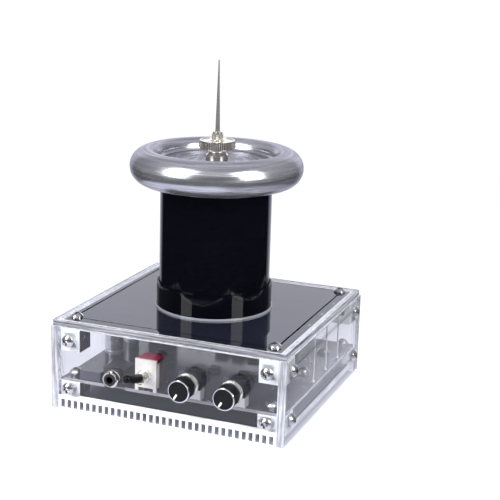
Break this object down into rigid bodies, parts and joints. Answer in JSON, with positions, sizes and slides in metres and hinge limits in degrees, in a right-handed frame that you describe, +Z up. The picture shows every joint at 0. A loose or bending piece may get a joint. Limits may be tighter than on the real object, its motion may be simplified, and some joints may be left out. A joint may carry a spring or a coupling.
{
  "type": "desktop resonant transformer",
  "caption": "Desktop resonant transformer: wound coil with a spun ring and needle on a clear screwed case that holds circuit boards, a switch, knobs and sockets.",
  "frame": {"origin": "on the floor, under the middle of the whole object's bounding box", "axes": "+X to the right seen from the control side, +Y to the back, +Z up along the coil"},
  "size_m": [0.1242, 0.1367, 0.1666],
  "materials": {
    "clear_acrylic": "clear, polished edges",
    "block_aluminium": "satin milled",
    "screw_steel": "bright zinc",
    "board_black": "glossy solder mask",
    "tinned_wire": "tinned",
    "moulded_black": "moulded",
    "capacitor_grey": "dipped",
    "can_sleeve": "shrink sleeve",
    "can_aluminium": "satin",
    "capacitor_brown": "dipped epoxy",
    "ferrite": "painted ferrite",
    "copper_wire": "enamelled copper",
    "socket_black": "moulded",
    "nickel": "nickel plated",
    "red_plastic": "moulded",
    "cap_rubber": "matte",
    "knob_black": "satin, ribbed",
    "ring_silver": "turned bright",
    "pointer_white": "white inlay",
    "former_plastic": "plain",
    "lacquered_winding": "glossy black lacquer over fine wire",
    "sleeve_black": "glossy film",
    "spun_aluminium": "spun, brushed round the axis",
    "needle_steel": "ground taper"
  },
  "bodies": {
    "casing": {"front_panel": "clear_acrylic", "back_panel": "clear_acrylic", "left_panel": "clear_acrylic", "right_panel": "clear_acrylic", "lid_plate": "clear_acrylic", "bottom_plate": "clear_acrylic", "upper_blocks": "block_aluminium", "lower_blocks": "block_aluminium", "case_screws": "screw_steel", "lid_screws": "screw_steel", "bottom_screws": "screw_steel", "board_screws": "screw_steel", "main_board": "board_black", "lid_board": "board_black", "riser_wires": "tinned_wire", "power_transistors": "moulded_black", "transistor_screws": "screw_steel", "bulk_capacitor": "can_sleeve", "small_capacitors": "can_aluminium", "film_capacitor": "capacitor_grey", "resonant_capacitors": "capacitor_brown", "logic_chips": "moulded_black", "transformer_core": "ferrite", "transformer_winding": "copper_wire", "audio_jack": "socket_black", "audio_jack_nut": "nickel", "power_jack": "socket_black", "power_jack_pin": "nickel", "switch_body": "red_plastic", "switch_frame": "nickel", "switch_bushing": "nickel", "pot_bodies": "moulded_black", "pot_frames": "nickel", "pot_bushings": "nickel", "pot_nuts": "nickel", "coil_former": "former_plastic", "secondary_winding": "lacquered_winding", "primary_band": "copper_wire", "coil_sleeve": "sleeve_black", "base_hoop": "clear_acrylic", "base_plug": "moulded_black", "base_screw": "screw_steel", "top_cap": "moulded_black", "toroid_upper": "spun_aluminium", "toroid_lower": "spun_aluminium", "centre_stud": "nickel", "boss": "nickel"},
    "toggle": {"toggle_lever": "nickel", "lever_cap": "cap_rubber"},
    "left_control": {"left_shaft": "screw_steel", "left_knob": "knob_black", "left_knob_ring": "ring_silver", "left_pointer": "pointer_white"},
    "right_control": {"right_shaft": "screw_steel", "right_knob": "knob_black", "right_knob_ring": "ring_silver", "right_pointer": "pointer_white"},
    "needle": {"discharge_needle": "needle_steel"},
    "terminal_nut": {"thumb_nut": "nickel", "needle_collet": "nickel"}
  },
  "joints": [
    {"name": "toggle_throw", "type": "hinge", "parent": "casing", "child": "toggle", "pos_m": [-0.0109, -0.05183, 0.0231], "axis": [1, 0, 0], "range_deg": [0, 38]},
    {"name": "left_knob_turn", "type": "hinge", "parent": "casing", "child": "left_control", "pos_m": [0.0118, -0.04983, 0.0231], "axis": [0, 1, 0], "range_deg": [0, 300]},
    {"name": "right_knob_turn", "type": "hinge", "parent": "casing", "child": "right_control", "pos_m": [0.034, -0.04983, 0.0231], "axis": [0, 1, 0], "range_deg": [0, 300]},
    {"name": "needle_lift", "type": "slide", "parent": "casing", "child": "needle", "axis": [0, 0, 1], "range_m": [0, 0.00211]},
    {"name": "nut_turn", "type": "hinge", "parent": "needle", "child": "terminal_nut", "pos_m": [0, 0.00817, 0.1229], "axis": [0, 0, 1], "range_deg": [0, 1080]}
  ],
  "couplings": [
    {"joint": "needle_lift", "follows": "nut_turn", "m_per_rad": 0.00011141}
  ]
}
